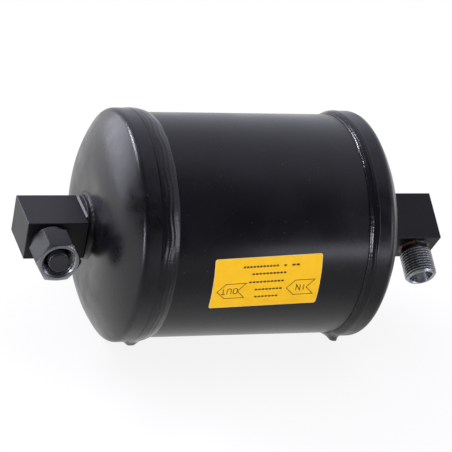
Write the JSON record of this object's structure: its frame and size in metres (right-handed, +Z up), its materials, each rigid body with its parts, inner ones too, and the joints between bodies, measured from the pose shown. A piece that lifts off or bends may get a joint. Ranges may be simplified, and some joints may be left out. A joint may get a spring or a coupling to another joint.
{
  "type": "receiver drier",
  "caption": "Welded steel in-line receiver drier for refrigerant, with dished ends, square elbow blocks, a swivel nut outlet and a threaded inlet.",
  "frame": {"origin": "middle of the vessel, on its axis, which is the middle of the clamp band's seat on the shell", "axes": "+X along the vessel from the outlet to the inlet; -Y out of the outlet port; +Z up"},
  "size_m": [0.2126, 0.112, 0.112],
  "materials": {
    "black_paint": "semi-gloss black paint over steel",
    "zinc_steel": "turned steel, clear zinc plated",
    "copper_braze": "copper braze, partly overpainted",
    "black_rubber": "moulded rubber, oiled",
    "grey_plastic": "moulded grey plastic",
    "yellow_label": "printed self-adhesive film",
    "bare_steel": "plain pressed steel",
    "filter_felt": "polyester filter felt",
    "desiccant_beads": "molecular sieve beads"
  },
  "bodies": {
    "vessel": {"shell_tube": "black_paint", "outlet_end_cap": "black_paint", "inlet_end_cap": "black_paint", "outlet_seam_weld": "black_paint", "inlet_seam_weld": "black_paint", "outlet_neck": "black_paint", "inlet_neck": "black_paint", "outlet_neck_weld": "black_paint", "inlet_neck_weld": "black_paint", "outlet_block": "black_paint", "inlet_block": "black_paint", "outlet_tube": "zinc_steel", "outlet_braze_ring": "copper_braze", "outlet_sealing_ring": "black_rubber", "outlet_plug": "grey_plastic", "inlet_connector": "zinc_steel", "inlet_braze_ring": "copper_braze", "flow_label": "yellow_label", "outlet_perforated_cup": "bare_steel", "inlet_perforated_cup": "bare_steel", "outlet_gauze": "bare_steel", "inlet_gauze": "bare_steel", "outlet_filter_pad": "filter_felt", "inlet_filter_pad": "filter_felt", "desiccant_bed": "desiccant_beads", "pressure_spring": "bare_steel", "pickup_tube": "bare_steel"},
    "swivel_nut": {"outlet_swivel_nut": "black_paint"}
  },
  "joints": [
    {"name": "nut_spin", "type": "hinge", "parent": "vessel", "child": "swivel_nut", "pos_m": [-0.095, -0.0245, 0], "axis": [0, -1, 0], "continuous": true}
  ]
}
